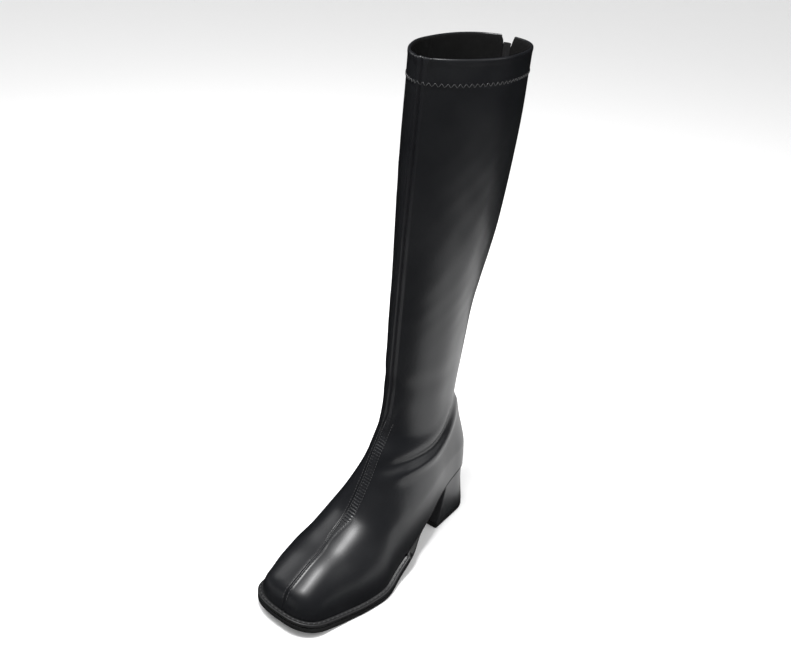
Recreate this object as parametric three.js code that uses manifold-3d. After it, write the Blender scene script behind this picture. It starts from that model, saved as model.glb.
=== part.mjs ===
// Knee-high boot with a square toe and a block heel, for the left foot.
// Millimetres. +Z up, the toe points to -Y, the outer side is +X.
// The origin is the centre of the heel's bottom face.
import * as THREE from 'three';
import { mergeVertices } from 'three/addons/utils/BufferGeometryUtils.js';
import Module from 'manifold-3d';

// Foot
const LAST_LENGTH = 242;        // heel's back to toe, at the upper's lower edge
const BALL_WIDTH = 85;
const HEEL_RISE = 54.5;         // ground to the foot's seat at the back
const INSTEP_HEIGHT = 92;       // vamp's line above the sole, where rise is 1
const TOE_SPRING = 7.5;
const SOLE_THICKNESS = 9;       // ground to the upper's lower edge at the ball
const HEEL_CAP = 30;            // length over which the outline rounds at the back
const TOE_CAP = 20;             // the same at the toe
const TOE_POWER = 2.7;          // 2 is round, larger is squarer

// Shaft
const BOOT_HEIGHT = 447.5;
const COLLAR_DEPTH = 120;
const COLLAR_BREADTH = 79;
const COLLAR_MIDDLE = 56;       // forward of the heel's back
const COLLAR_SIDE = 3.2;        // the collar leans this far to the outer side
const ANKLE_DEPTH = 84;
const ANKLE_BREADTH = 52.5;
const ANKLE_MIDDLE = 69;
const ANKLE_HEIGHT = 155;
const FRONT_POWER = 1.7;        // shaft's section towards the shin: 2 is an ellipse, less is pointed
const CALF_POWER = 2.3;         // the same towards the calf
const WALL = 2;
const HEM_DEPTH = 20;
const HEM_EXTRA = 0.7;          // step of the hem over the wall
const SEAM_RAISE = 0.8;
const GAP = 0.3;                // between pieces
const EDGE_GAP = 0.4;           // under the upper's edge
const PLATE_GAP = 0.5;          // between the flat pieces of the sole

// Sole
const WELT_THICKNESS = 3.5;
const WELT_MARGIN = 4.2;        // past the upper
const WELT_UNDER = 4.5;         // under the upper
const WAIST_THICKNESS = 3.2;
const TREAD_WEAR = 0.8;         // taken off the forefoot's tread to leave a flat spot
const WELT_END = 0.50;          // share of the last's length where the welt stops
const INSOLE_THICKNESS = 3;

// Heel
const HEEL_BACK = -2.4;         // of the heel's foot, forward of the last's back
const HEEL_FRONT = 58;
const HEEL_HALF = 30.3;
const HEEL_TOP_FRONT = 48.2;
const HEEL_TOP_INSET = 0.6;
const TOP_PIECE = 4;

// Zip
const SLOT_WIDTH = 7;
const SLOT_FOOT = 92;           // height of the slot's lower end
const NOTCH_WIDTH = 12;
const NOTCH_DEPTH = 12;
const SLIDER_HEIGHT = 428.5;    // of the slider's middle
const SLIDER_LENGTH = 11;
const SLIDER_WIDTH = 6.4;
const SLIDER_PLATE = 1.1;       // thickness of the slider's plate
const SLIDER_STAND = 0.2;       // of that plate over the leather
const ARCH_WIDTH = 2;           // the arch that holds the pull
const ARCH_LENGTH = 7.6;
const ARCH_BAR = 1;
const ARCH_HOLE_LENGTH = 4.8;
const ARCH_HOLE_DEPTH = 2.7;
const PULL_LENGTH = 44;
const PULL_WIDTH = 7;
const PULL_THICKNESS = 1.5;
const PULL_PIN = 1.5;           // bar of the pull inside the arch
const PULL_WINDOW_WIDTH = 3.4;
const PULL_WINDOW_LENGTH = 4.6;

const HEEL_MIDDLE = (HEEL_BACK + HEEL_FRONT) / 2;

// outer, inner: half widths as shares of BALL_WIDTH. seat: foot's height over the ball
// as a share of the heel's rise. side, top: powers of the section's flanks and ridge.
const LAST = {
  at:    [0.00, 0.10, 0.22, 0.34, 0.46, 0.57, 0.66, 0.74, 0.84, 0.93, 1.00],
  outer: [.350, .340, .366, .428, .466, .488, .522, .487, .405, .337, .292],
  inner: [.350, .335, .294, .278, .285, .425, .508, .510, .472, .408, .388],
  seat:  [1.00, .955, .835, .620, .360, .140, .020, .000, .000, .000, .000],
  side:  [2.20, 2.20, 2.20, 2.20, 2.20, 2.20, 2.20, 2.30, 2.40, 2.50, 2.60],
  top:   [2.00, 2.00, 2.00, 1.90, 1.80, 1.80, 1.90, 2.10, 2.30, 2.50, 2.60],
};

// Front line of the foot: reach as a share of LAST_LENGTH, rise over the sole as a
// share of INSTEP_HEIGHT.
const FRONT = {
  reach: [1.000, .994, .978, .940, .860, .760, .660, .570, .525, .481],
  rise:  [0.000, .115, .211, .286, .396, .482, .593, .835, 1.006, 1.156],
};

// Shaft's sections: up is the share of the way from ankle to collar, full is how much
// of the growth from ankle to collar is reached there.
const SHAFT = {
  up:   [0.00, 0.25, 0.55, 0.80, 1.00],
  full: [0.00, 0.21, 0.74, 0.96, 1.00],
};

// Back line below the ankle: up is the share of the way from the seat to the ankle,
// forward is in shares of ANKLE_DEPTH.
const BACK = {
  up:      [0.000, 0.08, 0.26, 0.46, 0.66, 0.84],
  forward: [0.000, .008, .034, .078, .150, .217],
};

// Where each section's back and front ends lie on their lines, and how the front end
// stands over the back end in the shaft. Ring 0 is the lower edge, 1 the ankle, 2 the collar.
const FANS = {
  ring:  [0.00, 0.12, 0.30, 0.50, 0.70, 0.86, 1.00],
  back:  [0.00, 0.09, 0.22, 0.38, 0.58, 0.79, 1.00],
  front: [0.00, 0.09, 0.27, 0.50, 0.72, 0.88, 1.00],
};
const ANKLE_TILT = 15;          // the section's ends above and below ANKLE_HEIGHT

const clamp = (x, a = 0, b = 1) => Math.min(b, Math.max(a, x));
const smooth = (x) => { const t = clamp(x); return t * t * (3 - 2 * t); };
const mix = (a, b, t) => a + (b - a) * t;
const capped = (t, n) => (1 - (1 - clamp(t)) ** n) ** (1 / n);

// Monotone cubic through the rows of a table.
function curve(x, xs, ys) {
  const n = xs.length;
  const d = ys.slice(1).map((y, i) => (y - ys[i]) / (xs[i + 1] - xs[i]));
  const m = ys.map((y, i) => {
    if (i === 0) return d[0];
    if (i === n - 1) return d[n - 2];
    return d[i - 1] * d[i] > 0 ? 2 * d[i - 1] * d[i] / (d[i - 1] + d[i]) : 0;
  });
  const p = clamp(x, xs[0], xs[n - 1]);
  let i = 0;
  while (i < n - 2 && p >= xs[i + 1]) i += 1;
  const h = xs[i + 1] - xs[i];
  const t = (p - xs[i]) / h;
  return (1 + 2 * t) * (1 - t) ** 2 * ys[i] + t * (1 - t) ** 2 * h * m[i]
    + t * t * (3 - 2 * t) * ys[i + 1] + t * t * (t - 1) * h * m[i + 1];
}

const last = (share, key) => curve(share, LAST.at, LAST[key]);

// Height of the upper's lower edge over the ground.
function featherHeight(share) {
  const spring = TOE_SPRING * clamp((share - 0.78) / 0.22, 0, 1.2) ** 1.8;
  return SOLE_THICKNESS + (HEEL_RISE - SOLE_THICKNESS) * last(share, 'seat') + spring;
}

function outline(share, key) {
  const f = share * LAST_LENGTH;
  return last(share, key) * BALL_WIDTH * capped(f / HEEL_CAP, 2.2)
    * capped((LAST_LENGTH - f) / TOE_CAP, TOE_POWER);
}

// Points [forward, height] and their share of the way along.
function withLength(points) {
  const s = [0];
  for (let i = 1; i < points.length; i += 1) {
    s.push(s[i - 1] + Math.hypot(points[i][0] - points[i - 1][0], points[i][1] - points[i - 1][1]));
  }
  return { s: s.map((v) => v / s[s.length - 1]), f: points.map((p) => p[0]), z: points.map((p) => p[1]) };
}

const shaftRow = (k) => {
  const grow = curve(k, SHAFT.up, SHAFT.full);
  const depth = mix(ANKLE_DEPTH, COLLAR_DEPTH, grow);
  const middle = mix(ANKLE_MIDDLE, COLLAR_MIDDLE, grow);
  const tilt = ANKLE_TILT * (1 - k) ** 2;
  const z = mix(ANKLE_HEIGHT, BOOT_HEIGHT, k);
  return {
    back: [middle - depth / 2, z - tilt],
    front: [middle + depth / 2, z + tilt],
    breadth: mix(ANKLE_BREADTH, COLLAR_BREADTH, grow),
  };
};

const SHAFT_STEPS = [0, .12, .25, .4, .55, .7, .85, 1];
const SEAT = featherHeight(0);
const ANKLE_BACK = ANKLE_HEIGHT - ANKLE_TILT;
const BACK_LINE = [
  ...BACK.up.map((u, i) => [BACK.forward[i] * ANKLE_DEPTH, mix(SEAT, ANKLE_BACK, u)]),
  ...SHAFT_STEPS.map((k) => shaftRow(k).back),
];
const BACK_F = BACK_LINE.map((p) => p[0]);
const BACK_Z = BACK_LINE.map((p) => p[1]);
const FRONT_LINE = withLength([
  ...FRONT.reach.map((r, i) => [r * LAST_LENGTH, featherHeight(r) + FRONT.rise[i] * INSTEP_HEIGHT]),
  ...SHAFT_STEPS.map((k) => shaftRow(k).front),
]);
const ANKLE_FRONT = FRONT_LINE.s[FRONT.reach.length];

function ridgeHeight(share) {
  const xs = [...FRONT.reach].reverse();
  const ys = [...FRONT.rise].reverse().map((r) => r * INSTEP_HEIGHT);
  if (share >= xs[0]) return Math.max(curve(share, xs, ys), 1e-3);
  return ys[0] + (ys[1] - ys[0]) / (xs[1] - xs[0]) * 1.6 * (share - xs[0]);
}

// Ends of section v: 0..1 from the lower edge to the ankle, 1..2 from there to the collar.
function sectionEnds(v) {
  if (v > 1) {
    const { back, front, breadth } = shaftRow(v - 1);
    const shin = FRONT.reach.length;
    const q = curve(front[1], FRONT_LINE.z.slice(shin), FRONT_LINE.s.slice(shin));
    return {
      back: [curve(back[1], BACK_Z, BACK_F), back[1]],
      front: [curve(q, FRONT_LINE.s, FRONT_LINE.f), curve(q, FRONT_LINE.s, FRONT_LINE.z)],
      breadth,
    };
  }
  const z = mix(SEAT, ANKLE_BACK, curve(v, FANS.ring, FANS.back));
  const q = ANKLE_FRONT * curve(v, FANS.ring, FANS.front);
  return {
    back: [curve(z, BACK_Z, BACK_F), z],
    front: [curve(q, FRONT_LINE.s, FRONT_LINE.f), curve(q, FRONT_LINE.s, FRONT_LINE.z)],
    breadth: ANKLE_BREADTH,
  };
}

// One section as [outer x, inner x, forward, height] at share c from back to front.
function sectionPoint(v, c) {
  const { back, front, breadth } = sectionEnds(v);
  const f = mix(back[0], front[0], c);
  const share = clamp(f / LAST_LENGTH);
  const base = featherHeight(share);
  const edgeUnder = (end) => featherHeight(clamp(end[0] / LAST_LENGTH));
  const chord = mix(edgeUnder(back), edgeUnder(front), c);
  const z = mix(back[1], front[1], c) + (1 - smooth(v / 0.9)) * (base - chord);
  const h = clamp(Math.max(z - base, 0) / ridgeHeight(f / LAST_LENGTH));
  const flank = (1 - h ** last(share, 'top')) ** (1 / last(share, 'side'));
  const toeRounding = capped((LAST_LENGTH - f) / TOE_CAP, TOE_POWER);
  const rounding = capped((f - back[0]) / HEEL_CAP, 2.2) * toeRounding;
  const power = mix(CALF_POWER, FRONT_POWER, smooth(2 * c - 0.5));
  const shaft = breadth / 2 * (1 - Math.abs(2 * c - 1) ** power) ** (1 / power);
  const m = smooth((v - 0.35) / 0.65);
  const half = (key) => mix(last(share, key) * BALL_WIDTH * rounding * flank, shaft, m);
  return [half('outer'), half('inner'), f, z];
}

const place = (x, f, z) => new THREE.Vector3(x, HEEL_MIDDLE - f, z);
const shaftShare = (z) => (z - ANKLE_HEIGHT) / (BOOT_HEIGHT - ANKLE_HEIGHT);
const lean = (z) => COLLAR_SIDE * smooth(shaftShare(z));

// Shares of the half turn at which a section is cut, denser by the seams.
const COLUMNS = (() => {
  const n = 18;
  const t = Array.from({ length: n + 1 }, (_, i) => i / n);
  return [...t, 0.012, 0.028, 0.972, 0.988].sort((a, b) => a - b);
})();
const LAST_COLUMN = COLUMNS.length - 1;

function section(v) {
  const cut = COLUMNS.map((t) => sectionPoint(v, (1 - Math.cos(Math.PI * t)) / 2));
  const outer = cut.map(([o, , f, z]) => place(o + lean(z), f, z));
  const inner = cut.map(([, i, f, z]) => place(lean(z) - i, f, z)).reverse();
  return [...outer, ...inner.slice(1, -1)];
}

// Normals of a grid of closed loops, pointing out.
function gridNormals(loops) {
  const rows = loops.length;
  const n = loops[0].length;
  return loops.map((loop, i) => loop.map((p, j) => {
    const along = loop[(j + 1) % n].clone().sub(loop[(j + n - 1) % n]);
    const up = loops[Math.min(i + 1, rows - 1)][j].clone().sub(loops[Math.max(i - 1, 0)][j]);
    return up.cross(along).normalize();
  }));
}

function solid(name, points, triangles, material) {
  const g = new THREE.BufferGeometry();
  g.setAttribute('position', new THREE.Float32BufferAttribute(points.flatMap((p) => [p.x, p.y, p.z]), 3));
  g.setIndex(triangles.flat());
  const mesh = new THREE.Mesh(g.toNonIndexed(), material);
  mesh.geometry.computeVertexNormals();
  mesh.name = name;
  return mesh;
}

// Quads between two loops; the first loop is lower when the face looks outward.
function band(a, b, n, flip = false) {
  const out = [];
  for (let j = 0; j < n; j += 1) {
    const k = (j + 1) % n;
    const quad = [[a + j, b + j, b + k], [a + j, b + k, a + k]];
    out.push(...(flip ? quad.map(([p, q, r]) => [p, r, q]) : quad));
  }
  return out;
}

// Closed shell between outer loops and inner loops of the same count.
function shell(outer, inner) {
  const n = outer[0].length;
  const rows = outer.length;
  const points = [...outer.flat(), ...inner.flat()];
  const shift = rows * n;
  const tris = [];
  for (let i = 0; i < rows - 1; i += 1) {
    tris.push(...band(i * n, (i + 1) * n, n));
    tris.push(...band(shift + i * n, shift + (i + 1) * n, n, true));
  }
  tris.push(...band((rows - 1) * n, shift + (rows - 1) * n, n));
  tris.push(...band(0, shift, n, true));
  return { points, tris };
}

// Solid between stacked loops whose points j and n-1-j lie across from each other.
function stack(loops) {
  const n = loops[0].length;
  const points = loops.flat();
  const tris = [];
  for (let i = 0; i < loops.length - 1; i += 1) tris.push(...band(i * n, (i + 1) * n, n));
  const cap = (base, up) => {
    for (let j = 0; j < n / 2 - 1; j += 1) {
      const [a, b, c, d] = [j, j + 1, n - 2 - j, n - 1 - j].map((k) => base + k);
      tris.push(...(up ? [[a, c, b], [a, d, c]] : [[a, b, c], [a, c, d]]));
    }
  };
  cap(0, false);
  cap((loops.length - 1) * n, true);
  return { points, tris };
}

// Manifold solids: joined and cut pieces.
const wasm = await Module();
wasm.setup();

function toManifold(mesh) {
  mesh.updateMatrixWorld(true);
  const g = mesh.geometry.clone().applyMatrix4(mesh.matrixWorld);
  g.deleteAttribute('normal');
  if (g.attributes.uv) g.deleteAttribute('uv');
  const m = mergeVertices(g, 1e-4);
  return new wasm.Manifold(new wasm.Mesh({
    numProp: 3,
    vertProperties: new Float32Array(m.attributes.position.array),
    triVerts: new Uint32Array(m.index.array),
  }));
}

function fromManifold(name, body, material) {
  const { vertProperties, triVerts, numProp } = body.getMesh();
  const points = [];
  for (let i = 0; i < vertProperties.length; i += numProp) {
    points.push(new THREE.Vector3(vertProperties[i], vertProperties[i + 1], vertProperties[i + 2]));
  }
  const tris = [];
  for (let i = 0; i < triVerts.length; i += 3) tris.push([triVerts[i], triVerts[i + 1], triVerts[i + 2]]);
  return solid(name, points, tris, material);
}

const finish = (color, roughness, metalness = 0) => (
  new THREE.MeshStandardMaterial({ color, roughness, metalness })
);
const LEATHER = finish(0x17181b, 0.36);
const SOLE_RUBBER = finish(0x141414, 0.6);
const WELT_LEATHER = finish(0x1a1a1c, 0.5);
const BOARD = finish(0x2a2826, 0.8);
const TAPE = finish(0x121213, 0.75);
const LACQUERED = finish(0x1c1c1e, 0.3, 0.8);

// Upper
const FOOT_RINGS = [0, .03, .07, .12, .18, .24, .31, .38, .45, .52, .59, .66, .73, .80, .87, .94];
const SHAFT_RINGS = [0, .06, .13, .22, .32, .42, .52, .62, .72, .81, .88].map((k) => 1 + k);
const hemStart = 1 + shaftShare(BOOT_HEIGHT - HEM_DEPTH);
const RINGS = [...FOOT_RINGS, ...SHAFT_RINGS, hemStart - 0.004, hemStart, (hemStart + 2) / 2, 2];

function upperLoops() {
  const middle = RINGS.map(section);
  const normals = gridNormals(middle);
  normals[0].forEach((n) => { n.z = 0; n.normalize(); });
  normals[RINGS.length - 1].forEach((n) => { n.z = 0; n.normalize(); });
  const raised = (i, j) => {
    const seam = Math.abs(j - LAST_COLUMN) <= 1 ? SEAM_RAISE : 0;
    const hem = RINGS[i] >= hemStart ? HEM_EXTRA : 0;
    return Math.max(seam, hem);
  };
  const offset = (by) => middle.map((loop, i) => loop.map((p, j) => (
    p.clone().addScaledVector(normals[i][j], by(i, j))
  )));
  return { outer: offset(raised), inner: offset(() => -WALL) };
}

function slotCutter() {
  const half = SLOT_WIDTH / 2;
  const top = BOOT_HEIGHT + 20;
  const notch = BOOT_HEIGHT - NOTCH_DEPTH;
  const spread = (NOTCH_WIDTH / 2 - half) / NOTCH_DEPTH;
  const heights = [...Array.from({ length: 13 }, (_, i) => mix(SLOT_FOOT, notch, i / 12)), top];
  const width = (z) => half + spread * Math.max(z - notch, 0);
  const s = new THREE.Shape([
    ...heights.map((z) => new THREE.Vector2(lean(z) + width(z), z)),
    ...heights.map((z) => new THREE.Vector2(lean(z) - width(z), z)).reverse(),
  ]);
  const mesh = new THREE.Mesh(new THREE.ExtrudeGeometry(s, { depth: 90, bevelEnabled: false }));
  mesh.rotation.x = Math.PI / 2;
  mesh.position.y = 80;
  return mesh;
}

const { outer, inner } = upperLoops();
const skin = shell(outer, inner);
const whole = solid('upper', skin.points, skin.tris, LEATHER);
const upper = fromManifold('upper', toManifold(whole).subtract(toManifold(slotCutter())), LEATHER);

// Stations of the flat pieces, as shares of LAST_LENGTH, with the welt's end among them.
const PLAN = [
  ...Array.from({ length: 29 }, (_, i) => (1 - Math.cos(Math.PI * i / 28)) / 2),
  WELT_END - 0.002, WELT_END + 0.002, WELT_END + 0.006,
].filter((s) => Math.abs(s - WELT_END) > 1e-4).sort((p, q) => p - q);

// Closed outline grown by margin(share): {x, f, share} from back to toe on the outer side,
// then back again on the inner side.
function planLoop(margin) {
  const raw = [
    ...PLAN.map((share) => ({ x: outline(share, 'outer'), f: share * LAST_LENGTH, share })),
    ...PLAN.map((share) => ({ x: -outline(share, 'inner'), f: share * LAST_LENGTH, share })).reverse(),
  ];
  const n = raw.length;
  return raw.map((p, i) => {
    const before = raw[(i + n - 1) % n];
    const after = raw[(i + 1) % n];
    const d = Math.hypot(after.x - before.x, after.f - before.f) || 1;
    const m = margin(p.share);
    return { x: p.x + (after.f - before.f) / d * m, f: p.f - (after.x - before.x) / d * m, share: p.share };
  });
}

const onWelt = (share) => share > WELT_END;
const seatHeight = (f) => featherHeight(clamp(f / LAST_LENGTH, 0, 1.04));

function plate(name, loop, low, high, material) {
  const { points, tris } = stack([
    loop.map(({ x, f, share }) => place(x, f, low(f, share))),
    loop.map(({ x, f, share }) => place(x, f, high(f, share))),
  ]);
  return solid(name, points, tris, material);
}

const edge = (share) => mix(0, WELT_MARGIN, smooth((share - WELT_END + 0.1) / 0.1));
const outsoleTop = (f, share) => seatHeight(f) - EDGE_GAP - (onWelt(share) ? WELT_THICKNESS + PLATE_GAP : 0);
const outsoleFoot = (f) => {
  const full = SOLE_THICKNESS - GAP + TREAD_WEAR;
  const depth = mix(WAIST_THICKNESS, full, smooth((f / LAST_LENGTH - 0.36) / 0.24));
  return Math.max(seatHeight(f) - GAP - depth, 0);
};
const outsole = plate('outsole', planLoop(edge), outsoleFoot, outsoleTop, SOLE_RUBBER);

// Welt: a strip under the upper's edge from the waist round the toe to the waist.
function weltStrip() {
  const path = (m) => planLoop(() => m).filter(({ share }) => share > WELT_END + 0.005);
  const out = path(WELT_MARGIN);
  const under = path(-WELT_UNDER);
  const rise = ({ f }) => seatHeight(f) - EDGE_GAP;
  const at = ({ x, f }, z) => place(x, f, z);
  const points = out.flatMap((p, i) => [
    at(p, rise(p) - WELT_THICKNESS),
    at(p, rise(p)),
    at(under[i], rise(under[i])),
    at(under[i], rise(under[i]) - WELT_THICKNESS),
  ]);
  const tris = [];
  for (let i = 0; i < out.length - 1; i += 1) tris.push(...band(4 * i, 4 * i + 4, 4, true));
  const e = 4 * (out.length - 1);
  tris.push([0, 2, 1], [0, 3, 2], [e, e + 1, e + 2], [e, e + 2, e + 3]);
  return { points, tris };
}
const weltParts = weltStrip();
const welt = solid('welt', weltParts.points, weltParts.tris, WELT_LEATHER);

// Insole: inside the upper at the back, inside the welt at the front.
const INSOLE_BACK = WALL + GAP + 0.5;
const INSOLE_TOE = WELT_UNDER + GAP + 1.4;

function insoleLoop() {
  const toe = LAST_LENGTH - INSOLE_TOE;
  const inside = PLAN.map((share) => share * LAST_LENGTH).filter((f) => f > INSOLE_BACK + 1 && f < toe - 1);
  const stations = [INSOLE_BACK + 0.3, ...inside, toe - 0.3];
  const edgeOf = (key) => stations.map((f) => {
    const share = f / LAST_LENGTH;
    const inset = mix(INSOLE_BACK, INSOLE_TOE, smooth((share - WELT_END + 0.06) / 0.05));
    const rounding = capped((f - INSOLE_BACK) / HEEL_CAP, 2.2) * capped((toe - f) / TOE_CAP, TOE_POWER);
    const half = (last(share, key) * BALL_WIDTH - inset) * rounding;
    return { x: key === 'outer' ? half : -half, f, share };
  });
  return [...edgeOf('outer'), ...edgeOf('inner').reverse()];
}
const insoleFoot = (f, share) => outsoleTop(f, share) + PLATE_GAP;
const insoleTop = (f) => seatHeight(f) + INSOLE_THICKNESS;
const insole = plate('insole', insoleLoop(), insoleFoot, insoleTop, BOARD);

// Heel block: lofted from the ground to the seat.
const HEEL_LEVELS = [0, .12, .3, .5, .7, .88, 1];
const HEEL_SIDE = 14;

function heelLoop(k, z) {
  const front = mix(HEEL_FRONT, HEEL_TOP_FRONT, k ** 0.8);
  const back = mix(HEEL_BACK, 1 + HEEL_TOP_INSET, k);
  const shares = Array.from({ length: HEEL_SIDE + 1 }, (_, i) => 1 - Math.cos(Math.PI / 2 * i / HEEL_SIDE));
  const edgeOf = (key) => shares.map((c) => {
    const f = mix(back, front, c);
    const top = outline(clamp(f / LAST_LENGTH), key) - HEEL_TOP_INSET;
    const foot = HEEL_HALF * capped((f - back) / (HEEL_CAP - 6), 2.3);
    const half = mix(foot, Math.max(top, 0) * capped((f - back) / HEEL_CAP + 0.02, 2.2) ** 0.1, smooth(k));
    return [key === 'outer' ? half : -half, f];
  });
  return [...edgeOf('outer'), ...edgeOf('inner').reverse()].map(([x, f]) => place(x, f, z(f)));
}

const blockTop = (f) => outsoleFoot(f) - GAP;
const blockFoot = TOP_PIECE + GAP;
const block = stack(HEEL_LEVELS.map((k) => (
  heelLoop(mix(blockFoot / HEEL_RISE, 1, k), (f) => mix(blockFoot, blockTop(f), k))
)));
const heelBlock = solid('heel_block', block.points, block.tris, LEATHER);
const lift = stack([heelLoop(0, () => 0), heelLoop(TOP_PIECE / HEEL_RISE, () => TOP_PIECE)]);
const topPiece = solid('heel_top_piece', lift.points, lift.tris, SOLE_RUBBER);

// Zip: the tape's section swept up the slot, in [side, out] from the upper's outer face.
const TAPE_HALF = SLOT_WIDTH / 2 - GAP;
const TAPE_SECTION = [
  [-TAPE_HALF, -1.6], [TAPE_HALF, -1.6], [TAPE_HALF, -0.8], [1.9, -0.8], [1.5, -0.1],
  [-1.5, -0.1], [-1.9, -0.8], [-TAPE_HALF, -0.8],
];
const TAPE_STEPS = 26;
const TAPE_TOP = BOOT_HEIGHT - NOTCH_DEPTH;
const backAt = (z) => curve(z, BACK_Z, BACK_F);
const slopeAt = (z) => Math.atan2(backAt(z + 2) - backAt(z - 2), 4);

function zipTape() {
  const rows = Array.from({ length: TAPE_STEPS + 1 }, (_, i) => {
    const z = mix(SLOT_FOOT + GAP + 0.6, TAPE_TOP, i / TAPE_STEPS);
    const a = slopeAt(z);
    return TAPE_SECTION.map(([x, out]) => (
      place(x + lean(z), backAt(z) - out * Math.cos(a), z + out * Math.sin(a))
    ));
  });
  return stackLoops(rows);
}

function stackLoops(rows) {
  const n = rows[0].length;
  const tris = [];
  for (let i = 0; i < rows.length - 1; i += 1) tris.push(...band(i * n, (i + 1) * n, n, true));
  const flat = rows[0].map((_, i) => new THREE.Vector2(...TAPE_SECTION[i]));
  THREE.ShapeUtils.triangulateShape(flat, []).forEach(([p, q, r]) => {
    const e = (rows.length - 1) * n;
    tris.push([p, r, q], [e + p, e + q, e + r]);
  });
  return { points: rows.flat(), tris };
}
const tapeParts = zipTape();
const zipTapeMesh = solid('zip_tape', tapeParts.points, tapeParts.tris, TAPE);

// Slider and pull: boxes in a frame on the tape, x across, y out of the leather, z up the zip.
const box = (w, d, h, x, y, z) => {
  const m = new THREE.Mesh(new THREE.BoxGeometry(w, d, h));
  m.position.set(x, y, z);
  return toManifold(m);
};
const PLATE_OUT = SLIDER_STAND + SLIDER_PLATE;
const PIN_OUT = PLATE_OUT + ARCH_HOLE_DEPTH / 2;
const ARCH_OUT = PLATE_OUT + ARCH_HOLE_DEPTH + ARCH_BAR;
const sliderBody = box(SLIDER_WIDTH, SLIDER_PLATE, SLIDER_LENGTH, 0, SLIDER_STAND + SLIDER_PLATE / 2, 0)
  .add(box(ARCH_WIDTH, ARCH_OUT - SLIDER_STAND, ARCH_LENGTH, 0, (ARCH_OUT + SLIDER_STAND) / 2, 0))
  .subtract(box(2 * ARCH_WIDTH, ARCH_HOLE_DEPTH, ARCH_HOLE_LENGTH, 0, PIN_OUT, 0));
const slider = fromManifold('zip_slider', sliderBody, LACQUERED);

const plateShape = new THREE.Shape();
const halfPull = PULL_WIDTH / 2;
plateShape.moveTo(-halfPull, PULL_PIN / 2);
plateShape.lineTo(halfPull, PULL_PIN / 2);
plateShape.lineTo(halfPull, -PULL_LENGTH + halfPull);
plateShape.absarc(0, -PULL_LENGTH + halfPull, halfPull, 0, Math.PI, true);
plateShape.closePath();
const pullPlate = new THREE.Mesh(new THREE.ExtrudeGeometry(plateShape, {
  depth: PULL_THICKNESS, bevelEnabled: false, curveSegments: 10,
}));
pullPlate.rotation.x = Math.PI / 2;
pullPlate.position.y = PULL_THICKNESS / 2;
const pullWindow = box(
  PULL_WINDOW_WIDTH, 2 * PULL_THICKNESS, PULL_WINDOW_LENGTH,
  0, 0, -(PULL_PIN + PULL_WINDOW_LENGTH) / 2,
);
const pullBody = toManifold(pullPlate).subtract(pullWindow);
const pull = fromManifold('zip_pull', pullBody, LACQUERED);

const zipLean = slopeAt(SLIDER_HEIGHT);
const sliderSeat = new THREE.Group();
sliderSeat.position.copy(place(lean(SLIDER_HEIGHT), backAt(SLIDER_HEIGHT), SLIDER_HEIGHT));
sliderSeat.rotation.x = zipLean;
sliderSeat.add(slider);
pull.position.copy(sliderSeat.position).add(
  new THREE.Vector3(0, PIN_OUT * Math.cos(zipLean), PIN_OUT * Math.sin(zipLean)),
);

const group = new THREE.Group();
group.add(outsole, welt, insole, heelBlock, topPiece, upper, zipTapeMesh, sliderSeat, pull);
export default group;
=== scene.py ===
"""Looks of a knee-high boot with a square toe, a block heel, a stitched welt and a back zip.

Shapes are worked out in millimetres in the shoe's own sizes: side (outer side positive),
forward (from the back of the last) and height (from the ground). They become metres in the
part's frame when a mesh is made.
"""

import logging
from dataclasses import dataclass
from enum import Enum
from typing import Sequence

import bpy
import numpy as np
from mathutils import Matrix, Vector


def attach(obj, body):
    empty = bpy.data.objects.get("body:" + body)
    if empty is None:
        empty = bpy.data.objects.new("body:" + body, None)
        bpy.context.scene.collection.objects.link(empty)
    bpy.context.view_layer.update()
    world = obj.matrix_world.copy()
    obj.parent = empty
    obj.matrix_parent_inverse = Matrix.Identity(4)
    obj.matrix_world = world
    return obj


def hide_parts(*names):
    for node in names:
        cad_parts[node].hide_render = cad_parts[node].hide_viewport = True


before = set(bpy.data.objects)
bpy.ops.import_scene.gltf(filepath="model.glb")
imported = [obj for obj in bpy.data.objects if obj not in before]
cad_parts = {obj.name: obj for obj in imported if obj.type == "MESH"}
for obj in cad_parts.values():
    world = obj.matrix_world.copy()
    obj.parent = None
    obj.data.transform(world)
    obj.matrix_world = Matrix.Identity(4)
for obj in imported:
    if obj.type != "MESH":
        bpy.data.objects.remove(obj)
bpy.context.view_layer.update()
LOG = logging.getLogger("boot")
Array = np.ndarray

HEEL_MIDDLE = 27.8
MM = 0.001
END_BAND = 1.5
SOFT_GRAIN = 260.0
SLOW_CLOUD = 22.0


# Numbers and grids


def smooth(x: Array) -> Array:
    """Cubic step from 0 to 1 over the same range of x."""
    t = np.clip(x, 0.0, 1.0)
    return t * t * (3.0 - 2.0 * t)


def mix(a: Array, b: Array, t: Array) -> Array:
    """Straight blend from a to b."""
    return a + (b - a) * t


def hump(x: Array, width: float) -> Array:
    """Bell of height 1 at x = 0 that has fallen to 1/e at x = width."""
    return np.exp(-((x / width) ** 2))


def capped(t: Array, power: float) -> Array:
    """Quarter of a superellipse: 0 at t = 0, rising steeply to 1 at t = 1."""
    return (1.0 - (1.0 - np.clip(t, 0.0, 1.0)) ** power) ** (1.0 / power)


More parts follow.
